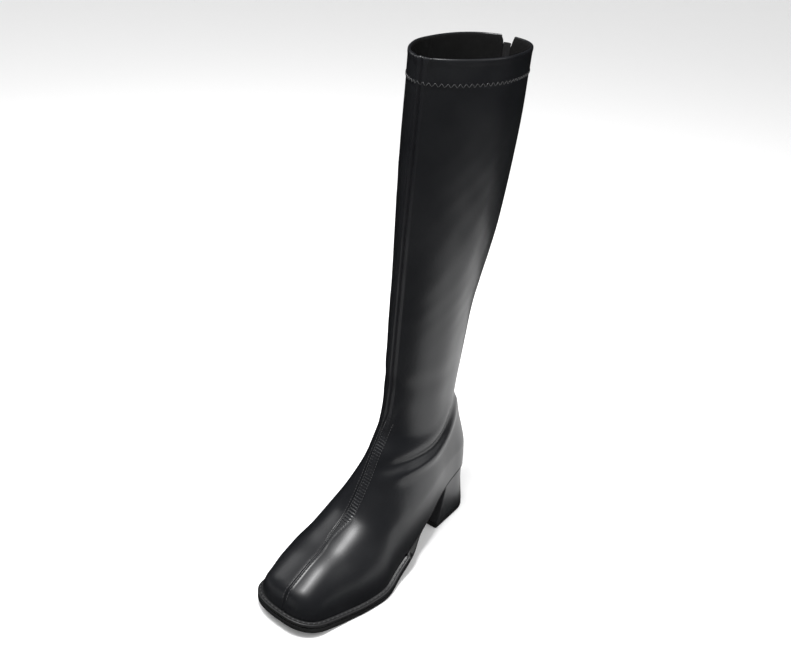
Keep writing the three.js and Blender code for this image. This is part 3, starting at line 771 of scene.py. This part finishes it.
@dataclass
class Upper:
    """The leather upper: foot, shaft and hem in one hollow skin with a lining, open at collar and slot."""

    last: Last
    finishes: Finishes
    wall: float = 2.0
    top_section: float = 1.9958
    hem_depth: float = 20.0
    hem_step: float = 0.15
    zigzag: tuple[float, float] = (4.4, 1.35)
    slot: tuple[float, float] = (7.0, 92.0)
    notch: tuple[float, float] = (12.0, 12.0)
    notch_corner: tuple[float, float] = (2.2, 5.0)
    groove: tuple[float, float] = (0.8, 0.75)
    band: float = 8.6
    band_start: tuple[float, float] = (60.0, 56.0)
    band_end: tuple[float, float] = (182.0, 22.0)
    rib_height: float = 0.45
    rib_pitch: float = 2.7
    vamp_stitches: tuple[float, float, float] = (12.0, 62.0, 2.7)
    instep_stitches: tuple[float, float, float] = (64.0, 190.0, 2.5)
    stitch_raise: float = 0.1
    folds: tuple[Fold, ...] = (
        Fold(1, ((42, 152), (46, 137), (54, 122), (66, 112), (82, 107.5), (98, 106.5), (114, 105.5),
                 (130, 102), (144, 97)), 2.2, 4.6, 0.9, 2.4),
        Fold(-1, ((44, 150), (52, 152), (67, 153.5), (82, 152), (93, 148)), 1.2, 4.2, 0.6, 0.9),
        Fold(-1, ((33, 136), (38, 126), (43, 117), (52, 107), (66, 102), (82, 104), (95, 108)),
             3.0, 4.0, 1.3, 1.9),
        Fold(-1, ((36, 108), (42, 95), (50, 85), (61, 77), (77, 71), (94, 69)), 1.7, 4.6, 0.8, 1.1),
    )

    def columns(self, far: Array) -> Array:
        """Distances from the front seam to a far end: close together beside the seam, then even.

        Args:
            far: distance of the far end in each section, as a column.

        Returns:
            A row of distances for each section.
        """
        near = np.array([0, .35, .7, 1.05, 1.5, 2, 2.5, 3, 3.6, 4.3, 5, 6, 7, 8, 9, 10.5, 12])
        even = near[-1] + (far - near[-1]) * np.linspace(0, 1, 55)[1:]
        return np.concatenate([np.broadcast_to(near, (len(far), len(near))), even], 1)

    def rows(self) -> Array:
        """Sections, close together over the instep and at the hem.

        Returns:
            The sections' places: 0 at the lower edge, 1 at the ankle, 2 at the collar.
        """
        starts, counts = (0, 0.3, 1.0, 1.915), (50, 230, 95)
        spans = [np.linspace(a, b, count, endpoint=False) for a, b, count in zip(starts, starts[1:], counts)]
        return np.concatenate([*spans, np.linspace(starts[-1], self.top_section, 24)])

    def slot_half(self, z: Array) -> Array:
        """Half width of the slot: round at its foot, straight, wider in the notch, its corners eased.

        Args:
            z: height.

        Returns:
            The half width, 0 below the slot.
        """
        half, foot = self.slot[0] / 2, self.slot[1]
        round_end = half * np.sqrt(np.clip(1 - (1 - np.clip((z - foot) / half, 0, 1)) ** 2, 0, 1))
        start = self.last.height - self.notch[1]
        widen = (self.notch[0] / 2 - half) * np.clip((z - start) / self.notch[1], 0, 1.2) ** 1.5
        easing, depth = self.notch_corner
        return round_end + widen + easing * np.clip((z - self.last.height + depth) / depth, 0, 1.2) ** 2

    def skin(self) -> None:
        """Works out the plain outer surface, its normals, and each point's place along the seam.

        The two halves of each section join at the front. Near the back, side becomes the root of
        its square plus the slot's half width squared, which parts the halves along the zip. Near the
        front, a least half width keeps the points apart. Then each section is read again at places
        measured from the seam.
        """
        t = np.linspace(0, 1, 181)
        outer, inner, f, z = self.last.sections(self.rows(), t)
        steps = np.arange(len(t))[::-1]
        least = np.maximum(0.42 * steps * (1 - steps / 26), 0)
        outer, inner = ((half ** 8 + least ** 8) ** 0.125 for half in (outer, inner))
        front = len(t) - 1
        x = np.concatenate([outer, -inner[:, ::-1][:, 1:]], 1)
        f = np.concatenate([f, f[:, ::-1][:, 1:]], 1)
        z = np.concatenate([z, z[:, ::-1][:, 1:]], 1)
        side = np.where(np.arange(x.shape[1]) <= front, 1.0, -1.0)
        w = self.slot_half(z) * hump(x, 10.0)
        x = side * np.sqrt(x * x + w * w)
        x[:, front] = 0.0
        points = placed(x + self.last.lean_at(z), f, z)
        along = np.gradient(points, axis=1)
        self.closed = self.slot_half(z[:, 0]) == 0
        shared = points[:, 1] - points[:, -2]
        along[self.closed, 0] = along[self.closed, -1] = shared[self.closed]
        normals = np.cross(np.gradient(points, axis=0), along)
        normals[[0, -1], :, 2] = 0
        normals = unit(normals)
        rises = np.linalg.norm(np.diff(points[:, front], axis=0), axis=1)
        self.along = np.concatenate([[0], np.cumsum(rises)])
        step = np.linalg.norm(np.diff(points, axis=1), axis=2)
        run = np.concatenate([np.zeros((len(x), 1)), np.cumsum(step, 1)], 1)
        seam = run[:, [front]] - self.seam_side()[:, None]
        beyond = self.columns(run[:, -1:] - seam)[:, 1:]
        place = np.concatenate([seam - self.columns(seam)[:, ::-1], seam + beyond], 1)
        apart = (run.max() + 1.0) * np.arange(len(x))[:, None]

        def read(grid: Array) -> Array:
            """One grid at the new places of every section."""
            there = np.interp((place + apart).ravel(), (run + apart).ravel(), grid.ravel())
            return there.reshape(place.shape)

        self.points = np.stack([read(points[..., i]) for i in range(3)], -1)
        self.normals = unit(np.stack([read(normals[..., i]) for i in range(3)], -1))
        self.x, self.f, self.z = read(x), read(f), read(z)
        self.across = run[:, [front]] - place

    def seam_side(self) -> Array:
        """Where the front seam lies: in the middle, but set to the inner side over the instep."""
        g = self.along
        return -4.0 * smooth((g - 58) / 30) * (1 - smooth((g - 176) / 26))

    def band_width(self, g: Array) -> Array:
        """Width of the gathered band beside the seam, at a length along the front line."""
        return self.band * mix(0.35, 1.0, smooth((g - 66) / 40))

    def soft_relief(self) -> Array:
        """What the whole wall follows: the folds, slow waves and ripples of the shaft, a pull at the ankle.

        Returns:
            The relief at each point.
        """
        relief = sum(fold.relief(self.x, self.f, self.z) for fold in self.folds)
        up = smooth((self.z - 190) / 60) * (1 - smooth((self.z - 400) / 30))
        wave = np.sin(self.z / 23.0 + self.x / 17.0) * 0.35 + np.sin(self.z / 41.0 - self.f / 29.0) * 0.45
        pull = (0.5 * hump(self.z - 178, 16.0) * np.sin(self.z / 6.5 + self.f / 30)
                * smooth((self.f - 40) / 50))
        toe = -0.35 * hump(self.z - 44, 7.0) * hump(self.f - 186, 10.0)
        ripple = (np.sin(self.z / 4.3 + self.f / 3.1 + 1.5 * np.sin(self.z / 19.0))
                  + np.sin(self.z / 6.1 - self.f / 4.7 + 1.2 * np.sin(self.f / 11.0)))
        return relief + wave * up + pull + toe + 0.055 * ripple * up * smooth((self.f - 18) / 20)

    def fine_relief(self) -> Array:
        """Seam groove and its lips, the gathered band over the instep, and the hem's step.

        Each is a bell or a step of the distance from the seam or from the hem, and the band's ribs are
        a wave along the seam.

        Returns:
            The relief at each point.
        """
        g = self.along[:, None]
        d = self.across - self.seam_side()[:, None]
        foot = 1 - smooth((g - 196) / 14)
        vamp = 1 - smooth((g - 60) / 14)
        depth, reach = self.groove
        relief = -depth * hump(d, reach) + 0.4 * vamp * (hump(d - 1.5, 1.0) + hump(d + 1.5, 1.0))
        lips = 0.62 * hump(d + 2.3, 1.5) - 0.25 * hump(d + 4.6, 1.0) + 0.2 * hump(d - 1.5, 1.0)
        relief += (1 - foot) * lips
        (start, fade_in), (end, fade_out) = self.band_start, self.band_end
        band = smooth((g - start) / fade_in) * (1 - smooth((g - end) / fade_out))
        width = self.band_width(g)
        inside = smooth((d + 0.2) / 0.9) * smooth((width - d) / 1.2) * band
        ribs = np.sin(2 * np.pi * g / self.rib_pitch + 0.5 * np.sin(g / 7.0) + 0.25 * d)
        rows = np.cos(2 * np.pi * d / 2.9)
        relief += inside * (self.rib_height * ribs * (0.7 + 0.3 * rows) + 0.2)
        relief -= band * 0.3 * hump(d - width, 0.8)
        lower = self.last.height - self.hem_depth
        relief += self.hem_step * smooth((self.z - lower + 0.9) / 1.8)
        relief += 0.3 * hump(self.z - self.last.height + 2.2, 2.0)
        return relief

    def surface_at(self, row: Array, across: Array) -> tuple[Array, Array]:
        """Points and normals of the finished outer face.

        Args:
            row: place among the rows, with its fraction.
            across: distance from the front centre, outer side positive.

        Returns:
            Points and normals.
        """
        i = np.clip(row.astype(int), 0, len(self.along) - 2)
        r = (row - i)[:, None]
        line = -mix(self.across[i], self.across[i + 1], r)
        j = np.clip((line < -across[:, None]).sum(1) - 1, 0, line.shape[1] - 2)
        k = np.arange(len(i))
        c = ((-across - line[k, j]) / (line[k, j + 1] - line[k, j]))[:, None]

        def read(grid: Array) -> Array:
            """One grid at the wanted places, blended from its four corners."""
            return mix(mix(grid[i, j], grid[i, j + 1], c), mix(grid[i + 1, j], grid[i + 1, j + 1], c), r)

        return read(self.face), unit(read(self.normals))

    def build(self) -> bpy.types.Object:
        """Makes the skin: outer face, rolled rim, lining and slot edges, closed all round.

        Returns:
            The object that stands for the CAD upper.
        """
        self.skin()
        soft = self.soft_relief()
        self.face = self.points + self.normals * (soft + self.fine_relief())[..., None]
        lining = self.points + self.normals * (soft - self.wall)[..., None]
        count, width = self.face.shape[:2]
        top, bottom = self.face[-1], lining[-1]
        middle, half = (top + bottom) / 2, (top - bottom) / 2
        a = np.linspace(0, np.pi, 7)[1:-1, None, None]
        rise = np.linalg.norm(half, axis=1)[:, None] * np.array([0, 0, 1.0])
        rim = middle + half * np.cos(a) + rise * np.sin(a)
        foot = int(np.flatnonzero(self.closed)[-1])
        kept = np.unique(np.concatenate([np.arange(0, count, 3), [foot, count - 1]]))[::-1]
        cols = np.arange(0, width, 2)
        inside = lining[np.ix_(kept, cols)]
        points = np.concatenate([grid.reshape(-1, 3) for grid in (self.face, rim, inside)])
        o = np.arange(count * width).reshape(count, width)
        m = count * width + np.arange(5 * width).reshape(5, width)
        n = m[-1, -1] + 1 + np.arange(inside[..., 0].size).reshape(inside.shape[:2])
        o[self.closed, -1] = o[self.closed, 0]
        n[self.closed[kept], -1] = n[self.closed[kept], 0]
        up = n[kept >= foot][::-1]
        skin = quads(np.concatenate([o, m]))
        ends = np.array([[o[-1, 0], up[-1, 0], *m[::-1, 0]], [up[-1, -1], o[-1, -1], *m[:, -1]]])
        faces = [skin, strip(o[foot:, 0], up[:, 0]), strip(up[:, -1], o[foot:, -1]), ends,
                 strip(m[-1], n[0]), quads(n), strip(n[-1], o[0])]
        sizes = [len(group) for group in faces]
        kinds = np.repeat([0, 0, 0, 0, 1, 1, 1], sizes)
        up_seam = np.broadcast_to(self.along[:, None], self.across.shape)
        uv = np.concatenate([np.stack([self.across, up_seam], -1).reshape(-1, 2),
                             np.zeros((rim[..., 0].size, 2)), inside.reshape(-1, 3)[:, [0, 2]]]) * MM
        looks = [self.finishes[Look.UPPER], self.finishes[Look.LINING]]
        return add_piece("upper_leather", points, faces, looks, stands_for=["upper"],
                         kinds=kinds, uv=uv, sharp=60)

    def row_of(self, g: Array) -> Array:
        """Row at a length along the front line from the toe."""
        return np.interp(g, self.along, np.arange(len(self.along)))

    def sew(self) -> bpy.types.Object:
        """Stitches: a zigzag under the hem, rows beside the front seam on the vamp and over the instep.

        Returns:
            The object with all the stitches.
        """
        middle = self.z.shape[1] // 2
        lower = self.last.height - self.hem_depth + 1.8
        pitch, rise = self.zigzag
        heights = lower + np.array([-rise, 0, rise])
        level = np.interp(heights, self.z[:, middle], np.arange(len(self.z)))
        reach = self.across[int(level[1]), [0, -1]] + np.array([-3.0, 3.0])
        steps = np.linspace(reach[0], reach[1], 2 * int((reach[0] - reach[1]) / pitch) + 1)
        p, n = self.surface_at(level[np.where(np.arange(len(steps)) % 2, 2, 0)], steps)
        parts = [Thread(0.28, 0.2).stitches(p[:-1] + n[:-1] * 0.08, p[1:] + n[1:] * 0.08, n[:-1])]
        g = np.arange(*self.vamp_stitches)
        rows = [(g, np.full(len(g), offset), 2.0) for offset in (-1.9, 1.9)]
        g = np.arange(*self.instep_stitches)
        edge = self.band_width(g)
        rows += [(g, np.full(len(g), -1.5), 1.8), (g[3:], np.full(len(g) - 3, 1.3), 1.8),
                 (g[8:], edge[8:] - 0.3, 1.8)]
        for start, offset, length in rows:
            ends = [self.surface_at(self.row_of(at), np.interp(at, self.along, self.seam_side()) + offset)
                    for at in (start, start + length)]
            (a, out), (b, _) = ends
            raised = out * self.stitch_raise
            parts.append(Thread(0.3, 0.24).stitches(a + raised, b + raised, out))
        points, faces = joined(parts)
        return add_piece("upper_stitches", points, faces, [self.finishes[Look.THREAD_AND_PAINTED_HIGHLIGHT]], sharp=80)


# The sole


@dataclass
class Sole:
    """Outsole, stitched welt, insole, covered heel block and its top piece."""

    last: Last
    finishes: Finishes
    welt_thickness: float = 3.5
    welt_margin: float = 4.2
    welt_under: float = 4.5
    waist: float = 3.2
    wear: float = 0.8
    welt_end: float = 0.50
    welt_stitch: tuple[float, float] = (4.5, 3.1)
    edge_rounding: tuple[float, float] = (1.5, 0.5)
    gap: float = 0.3
    plate_gap: float = 0.5
    edge_gap: float = 0.4
    heel: tuple[float, float, float] = (-2.4, 58.0, 30.3)
    heel_top: tuple[float, float] = (48.2, 0.6)
    top_piece: float = 4.0
    lift_easing: float = 0.25
    heel_reach: float = 30.0

    def seat(self, f: Array) -> Array:
        """Height of the upper's lower edge at a forward distance."""
        return self.last.edge_height(np.clip(f / self.last.length, 0, 1.04))

    def tread(self, f: Array) -> Array:
        """Height of the outsole's underside: the seat, less a depth that is thin at the waist.

        Args:
            f: forward distance.

        Returns:
            The height, never below the ground.
        """
        full = self.last.sole - self.gap + self.wear
        depth = mix(self.waist, full, smooth((f / self.last.length - 0.36) / 0.24))
        return np.maximum(self.seat(f) - self.gap - depth, 0)

    def outsole(self) -> bpy.types.Object:
        """Outsole: the outline carried up its side with rounded lower and upper edges.

        Returns:
            The object that stands for the CAD outsole.
        """
        s = (1 - np.cos(np.pi * np.linspace(0.012, 0.988, 150))) / 2
        s = np.sort(np.concatenate([s, self.welt_end + np.array([-.002, .002])]))
        margin = mix(0, self.welt_margin, smooth((s - self.welt_end + 0.1) / 0.1))
        low_r, high_r = self.edge_rounding
        levels = [(low_r * (1 - np.sin(a)), low_r * (1 - np.cos(a)), 0)
                  for a in np.linspace(0, np.pi / 2, 5)]
        levels += [(high_r * (1 - np.cos(a)), high_r * (1 - np.sin(a)), 1)
                   for a in np.linspace(0, np.pi / 2, 4)]
        loops = []
        for inset, rise, end in levels:
            x, f, share = self.last.plan(s, margin - inset)
            low = self.tread(f)
            drop = np.where(share > self.welt_end, self.welt_thickness + self.plate_gap, 0)
            high = self.seat(f) - self.edge_gap - drop
            room = np.minimum(1, (high - low) / 2.6)
            loops.append(placed(x, f, np.where(end, high - rise * room, low + rise * room)))
        points, faces = loft(np.array(loops))
        return add_piece("outsole_rubber", points, faces, [self.finishes[Look.RUBBER]],
                         stands_for=["outsole"], sharp=50)

    def welt(self) -> list[bpy.types.Object]:
        """Welt: a rounded strip swept under the upper's edge round the forefoot, with its stitches.

        Returns:
            The strip and the stitches.
        """
        s = 1 - (1 - self.welt_end - 0.006) * (1 - np.sin(np.pi / 2 * np.linspace(0, 0.9865, 130)))
        h, r = self.welt_thickness, 0.9
        a = np.linspace(0, np.pi / 2, 4)
        section = [(self.welt_margin - r + r * np.sin(k), -h + r - r * np.cos(k)) for k in a]
        section += [(self.welt_margin - r + r * np.cos(k), -r + r * np.sin(k)) for k in a]
        section += [(2.9, 0.02), (2.35, -0.3), (1.8, -0.3), (1.2, 0.0)]
        section += [(-self.welt_under, 0.0), (-self.welt_under, -h)]
        rows = []
        for margin, rise in section:
            x, f, _ = self.last.plan(s, np.full(len(s), margin))
            rows.append(placed(x, f, self.seat(f) - self.edge_gap + rise))
        n = len(section)
        loops = np.array(rows).transpose(1, 0, 2)
        index = np.arange(loops.shape[0] * n).reshape(-1, n)
        order = ring(index)
        walls = np.stack([order[:-1, :-1], order[:-1, 1:], order[1:, 1:], order[1:, :-1]], -1)
        faces = [walls.reshape(-1, 4), index[:1, ::-1], index[-1:]]
        band = add_piece("welt_strip", loops.reshape(-1, 3), faces, [self.finishes[Look.WELT]],
                         stands_for=["welt"], sharp=50)
        x, f, _ = self.last.plan(s, np.full(len(s), 2.1))
        run = np.concatenate([[0], np.cumsum(np.hypot(np.diff(x), np.diff(f)))])
        pitch, length = self.welt_stitch
        at = np.arange(3, run[-1] - 5, pitch)
        ends = [placed(np.interp(d, run, x), np.interp(d, run, f), 0) for d in (at, at + length)]
        for p in ends:
            p[:, 2] = self.seat(HEEL_MIDDLE - p[:, 1]) - self.edge_gap - 0.05
        up = np.broadcast_to([0, 0, 1.0], ends[0].shape)
        points, faces = Thread(0.62, 0.3).stitches(ends[0], ends[1], up)
        sewn = add_piece("welt_stitches", points, faces, [self.finishes[Look.THREAD_AND_PAINTED_HIGHLIGHT]], sharp=80)
        return [band, sewn]

    def heel_loop(self, k: float) -> tuple[Array, Array]:
        """One section of the heel: straight across the front, round at the back, its corners eased.

        Args:
            k: share of the heel's height.

        Returns:
            Side and forward of its points, evenly spaced.
        """
        back0, front0, half0 = self.heel
        front = mix(front0, self.heel_top[0], k ** 0.8)
        back = mix(back0, 1 + self.heel_top[1], k)
        c = 1 - np.cos(np.pi / 2 * np.linspace(0, 1, 60))
        f = mix(back, front, c)
        sides = []
        for table, sign in ((self.last.outer, 1), (self.last.inner, -1)):
            outline = self.last.half_width(np.clip(f / self.last.length, 0, 1), table)
            top = np.maximum(outline - self.heel_top[1], 0)
            foot = half0 * capped((f - back) / (self.last.heel_cap - 6), 2.3)
            drawn = top * capped((f - back) / self.last.heel_cap + 0.02, 2.2) ** 0.1
            sides.append(sign * mix(foot, drawn, smooth(np.array(k))))
        x, f = np.concatenate([sides[0], sides[1][::-1]]), np.concatenate([f, f[::-1]])
        x, f = np.append(x, x[0]), np.append(f, f[0])
        run = np.concatenate([[0], np.cumsum(np.hypot(np.diff(x), np.diff(f)))])
        at = np.linspace(0, run[-1], 240, endpoint=False)
        x, f = np.interp(at, run, x), np.interp(at, run, f)
        weights = np.array([1, 2, 3, 2, 1.0]) / 9
        return tuple(sum(w * np.roll(p, i - 2) for i, w in enumerate(weights)) for p in (x, f))

    def block(self, name: str, levels: Array, low: float, easing: float, finish: Look,
              slot: Slot) -> bpy.types.Object:
        """A slice of the heel between two heights.

        Args:
            name: the piece's name.
            levels: shares of the heel's rise, lowest first.
            low: height of its lowest face.
            easing: how far its lower edge is rounded.
            finish: its look.
            slot: the record's slot.

        Returns:
            The object that stands for the CAD node of the slot's name.
        """
        loops = []
        tall = levels[-1] > 0.5
        for i, k in enumerate(levels):
            x, f = self.heel_loop(float(k))
            top = self.tread(f) - self.gap if tall else np.full_like(x, self.top_piece)
            z = mix(low, top, (k - levels[0]) / (levels[-1] - levels[0]))
            middle = (f.min() + f.max()) / 2
            eased = easing * (1 - min(1.0, i / 2))
            if not tall and i == len(levels) - 1:
                eased = self.lift_easing
            draw = 1 - eased / self.heel_reach
            loops.append(placed(x * draw, middle + (f - middle) * draw, z))
        loops = np.array(loops)
        rows, n = loops.shape[:2]
        index = np.arange(rows * n).reshape(rows, n)
        faces = [quads(ring(index)), index[-1:, ::-1], index[:1]]
        return add_piece(name, loops.reshape(-1, 3), faces, [self.finishes[finish]],
                         stands_for=[slot.value], sharp=40)

    def build(self) -> None:
        """Makes every piece of the sole."""
        self.outsole()
        self.welt()
        foot = (self.top_piece + self.gap) / self.last.heel_rise
        levels = np.concatenate([[foot, foot + 0.006, foot + 0.014], np.linspace(foot + 0.05, 1, 22)])
        self.block("heel_cover", levels, self.top_piece + self.gap, 0.5, Look.HEEL, Slot.HEEL)
        lift = np.array([0, .012, .024, .05, .068, .0734])
        self.block("heel_lift", lift, 0.0, 0.5, Look.RUBBER, Slot.LIFT)
        bevelled("insole", "insole_sock", self.finishes[Look.SOCK], Body.BOOT, 0.8)


# The zip


@dataclass
class Zip:
    """Back zip: woven tape, closed coil, slider and hanging pull tab."""

    last: Last
    finishes: Finishes
    foot: float = 93.5
    top: float = 439.5
    pitch: float = 1.55
    tape_end: float = 6.5

    def coil(self) -> bpy.types.Object:
        """Closed coil: short loops that cross the middle by turns, all the way up the tape.

        Returns:
            The object with the coil.
        """
        line = self.last.lines()
        z = np.arange(self.foot, self.top, self.pitch / 2)
        f = curve(z, line["bz"], line["bf"])
        slope = (curve(z + 2, line["bz"], line["bf"]) - curve(z - 2, line["bz"], line["bf"])) / 4
        out = unit(np.stack([np.zeros_like(z), np.ones_like(z), slope], -1))
        middle = placed(self.last.lean_at(z), f, z) - out * 0.12
        side = np.where(np.arange(len(z)) % 2, 1.0, -1.0)[:, None] * np.array([1.0, 0, 0])
        points, faces = Thread(0.36, 0.1, 6, 4).stitches(middle - side * 0.55, middle + side * 1.5, out)
        return add_piece("zip_coil", points, faces, [self.finishes[Look.TEETH]], sharp=80)

    def build(self) -> None:
        """Makes the tape with its end drawn up, the coil, and the rounded slider and pull."""
        tape, lacquer = self.finishes[Look.TAPE], self.finishes[Look.LACQUER]
        bevelled("zip_tape", "zip_tape_cloth", tape, Body.BOOT, 0.15, self.tape_end)
        self.coil()
        bevelled("zip_slider", "zip_slider_body", lacquer, Body.BOOT, 0.3)
        bevelled("zip_pull", "zip_pull_tab", lacquer, Body.PULL, 0.3)


# The studio


@dataclass(frozen=True)
class SoftBox:
    """A rectangular studio light aimed at a point."""

    name: str
    place: tuple[float, float, float]
    aim: tuple[float, float, float]
    size: tuple[float, float]
    power: float
    turn: float = 0.0

    def hang(self) -> bpy.types.Object:
        """Adds the light to the scene, unseen by the camera.

        Returns:
            The light's object.
        """
        light = bpy.data.lights.new(self.name, "AREA")
        light.shape = "RECTANGLE"
        light.size, light.size_y = self.size
        light.energy = self.power
        lamp = bpy.data.objects.new(self.name, light)
        lamp.location = self.place
        lamp.visible_camera = False
        aim = (Vector(self.aim) - Vector(self.place)).to_track_quat("-Z", "Y").to_matrix()
        lamp.rotation_euler = (Matrix.Rotation(np.radians(self.turn), 3, "Z") @ aim).to_euler()
        bpy.context.scene.collection.objects.link(lamp)
        return lamp


@dataclass
class Studio:
    """Pale floor and backdrop, soft lights and the camera at the photograph's angle."""

    place: tuple[float, float, float] = (0.3460, -0.6117, 0.5804)
    yaw: float = 37.25
    pitch: float = 28.52
    roll: float = 3.41
    focal: float = 932.87
    width: float = 791.0
    zoom: float = 0.955
    centre: tuple[float, float] = (55.0, 15.5)
    sensor: float = 36.0
    room: float = 0.85
    paper: tuple[float, float] = (0.94, 0.9)
    lights: tuple[SoftBox, ...] = (
        SoftBox("floor panel", (0.333, 0.208, 0.004), (0.333, 0.208, 1.0), (0.445, 0.62), 1.65, 32.0),
        SoftBox("near panel", (0.092, 0.0575, 0.004), (0.092, 0.0575, 1.0), (0.123, 0.5), 0.25, 32.0),
        SoftBox("right box", (1.1, 0.5, 1.1), (0.0, 0.0, 0.26), (0.6, 0.9), 3.5),
        SoftBox("top box", (0.02, -0.3, 1.5), (0.0, -0.16, 0.05), (0.26, 0.5), 24.0),
        SoftBox("left box", (-1.0, -0.1, 0.85), (0.0, -0.1, 0.15), (0.5, 0.7), 3.0),
        SoftBox("front box", (-0.32, -0.65, 1.2), (0.0, -0.12, 0.1), (0.3, 0.3), 1.6),
        SoftBox("front panel", (-0.24, -0.4, 0.004), (-0.24, -0.4, 1.0), (0.34, 0.5), 0.4, 61.0),
    )

    def camera(self) -> None:
        """Adds the camera: level axes from yaw and pitch, then turned by the roll."""
        yaw, pitch, roll = (np.radians(a) for a in (self.yaw, self.pitch, self.roll))
        ahead = np.array([-np.sin(yaw) * np.cos(pitch), np.cos(yaw) * np.cos(pitch), -np.sin(pitch)])
        right = np.array([np.cos(yaw), np.sin(yaw), 0.0])
        up = np.cross(right, ahead)
        across = right * np.cos(roll) + up * np.sin(roll)
        upward = -right * np.sin(roll) + up * np.cos(roll)
        data = bpy.data.cameras.new("camera")
        data.sensor_width = self.sensor
        data.lens = self.sensor * self.focal * self.zoom / self.width
        data.shift_x = self.centre[0] * self.zoom / self.width
        data.shift_y = -self.centre[1] * self.zoom / self.width
        data.clip_start = 0.01
        eye = bpy.data.objects.new("camera", data)
        eye.matrix_world = Matrix.Translation(self.place) @ Matrix(
            np.stack([across, upward, -ahead], 1).tolist()).to_4x4()
        bpy.context.scene.collection.objects.link(eye)
        bpy.context.scene.camera = eye

    def floor(self) -> None:
        """Adds a wide pale floor that bends up into a backdrop far behind, and isn't mirrored in the boot."""
        u, v = np.meshgrid(np.linspace(-6, 6, 25), np.linspace(0, 1, 60), indexing="ij")
        far = 7.0
        run = v * 16 - 6
        flat = np.minimum(run, far)
        climb = np.maximum(run - far, 0)
        bend = flat + 0.9 * np.sin(np.minimum(climb, 1.4))
        points = np.stack([u, bend, 1.2 * climb ** 1.5], -1).reshape(-1, 3)
        index = np.arange(u.size).reshape(u.shape)
        mesh = bpy.data.meshes.new("floor")
        mesh.from_pydata(points.tolist(), [], quads(index)[:, ::-1].tolist())
        mesh.polygons.foreach_set("use_smooth", np.ones(len(mesh.polygons), bool))
        paper = bpy.data.materials.new("studio paper")
        paper.use_nodes = True
        tone, roughness = self.paper
        shader = paper.node_tree.nodes["Principled BSDF"]
        shader.inputs["Base Color"].default_value = (tone, tone, tone, 1)
        shader.inputs["Roughness"].default_value = roughness
        mesh.materials.append(paper)
        floor = bpy.data.objects.new("floor", mesh)
        bpy.context.scene.collection.objects.link(floor)
        floor.visible_glossy = False

    def build(self) -> None:
        """Adds the floor, the lights, the room's own light and the camera."""
        self.floor()
        for box in self.lights:
            box.hang()
        world = bpy.data.worlds.new("room")
        world.use_nodes = True
        light = world.node_tree.nodes["Background"]
        light.inputs["Color"].default_value = (1, 1, 1, 1)
        light.inputs["Strength"].default_value = self.room
        world.cycles_visibility.glossy = False
        bpy.context.scene.world = world
        bpy.context.scene.view_settings.view_transform = "Standard"
        self.camera()


def main() -> None:
    """Builds the boot and its studio in order."""
    logging.basicConfig(level=logging.INFO, format="%(name)s: %(message)s")
    last, finishes = Last(), Finishes()
    Studio().build()
    upper = Upper(last, finishes)
    upper.build()
    upper.sew()
    Sole(last, finishes).build()
    Zip(last, finishes).build()
    LOG.info("sizes noted")


if __name__ == "__main__":
    main()
